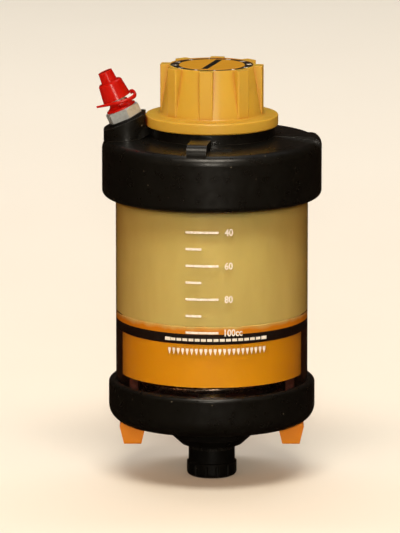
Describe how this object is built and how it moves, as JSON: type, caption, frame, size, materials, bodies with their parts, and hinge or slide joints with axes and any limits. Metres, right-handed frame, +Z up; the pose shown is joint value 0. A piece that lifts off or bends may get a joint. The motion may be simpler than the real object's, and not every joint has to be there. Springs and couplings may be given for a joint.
{
  "type": "automatic lubricator",
  "caption": "Spring-driven single-point automatic lubricator: clear grease reservoir between black caps, orange metering dial, side grease nipple with red dust cap, threaded outlet.",
  "frame": {"origin": "centre of the outlet's mouth, on the axis of the reservoir", "axes": "+Z up the reservoir's axis towards the dial, -Y towards the front with the scale, -X towards the grease nipple"},
  "size_m": [0.0647, 0.063, 0.1201],
  "materials": {
    "housing_black": "moulded glass-filled nylon, fine grain",
    "orange_knob": "moulded ABS, satin",
    "orange_piston": "moulded acetal, satin",
    "clear_tube": "clear moulded polycarbonate, polished",
    "grease": "soft tan grease",
    "seal_rubber": "nitrile rubber",
    "spring_steel": "drawn wire",
    "brass": "turned",
    "zinc": "zinc plated steel",
    "cap_red": "moulded polyethylene",
    "dial_black": "printed polycarbonate",
    "print_white": "pad print"
  },
  "bodies": {
    "root": {"outlet_adapter": "housing_black", "tie_tube": "brass", "outlet_check_spring": "spring_steel", "lower_cap": "housing_black", "spring_seat": "orange_piston", "main_spring": "spring_steel", "reservoir": "clear_tube", "scale_print": "print_white", "grease_fill": "grease", "top_housing": "housing_black", "reservoir_top_ring": "seal_rubber", "stem_ring": "seal_rubber", "stem_gland": "brass", "nipple_washer": "seal_rubber", "nipple_body": "zinc", "nipple_spring": "spring_steel", "cap_cord": "cap_red"},
    "dial": {"control_knob": "orange_knob", "knob_clip": "spring_steel", "dial_ring": "dial_black", "knob_disc": "orange_knob", "pointer_bar": "dial_black"},
    "stem": {"metering_stem": "brass"},
    "piston": {"piston": "orange_piston", "piston_seal": "seal_rubber", "piston_hub_ring": "seal_rubber"},
    "dust_cap": {"nipple_cap": "cap_red"},
    "inlet_ball": {"nipple_ball": "spring_steel"},
    "outlet_ball": {"outlet_check_ball": "spring_steel"}
  },
  "joints": [
    {"name": "dial_turn", "type": "hinge", "parent": "root", "child": "dial", "pos_m": [0, 0, 0.1027], "axis": [0, 0, 1], "range_deg": [0, 270]},
    {"name": "stem_lift", "type": "slide", "parent": "dial", "child": "stem", "axis": [0, 0, 1], "range_m": [0, 0.00075]},
    {"name": "piston_slide", "type": "slide", "parent": "root", "child": "piston", "axis": [0, 0, 1], "range_m": [0, 0.048], "deforming": ["main_spring", "grease_fill"]},
    {"name": "dust_cap_pull", "type": "slide", "parent": "root", "child": "dust_cap", "axis": [-0.4019, 0, 0.9157], "range_m": [0, 0.012], "deforming": ["cap_cord"]},
    {"name": "inlet_ball_press", "type": "slide", "parent": "root", "child": "inlet_ball", "axis": [0.4019, 0, -0.9157], "range_m": [0, 0.0008], "stiffness_N_per_m": 200, "springref_m": -0.001, "deforming": ["nipple_spring"]},
    {"name": "outlet_ball_open", "type": "slide", "parent": "root", "child": "outlet_ball", "axis": [0, 0, -1], "range_m": [0, 0.0015], "stiffness_N_per_m": 150, "springref_m": -0.001, "deforming": ["outlet_check_spring"]}
  ],
  "couplings": [
    {"joint": "stem_lift", "follows": "dial_turn", "m_per_rad": 0.000159}
  ]
}
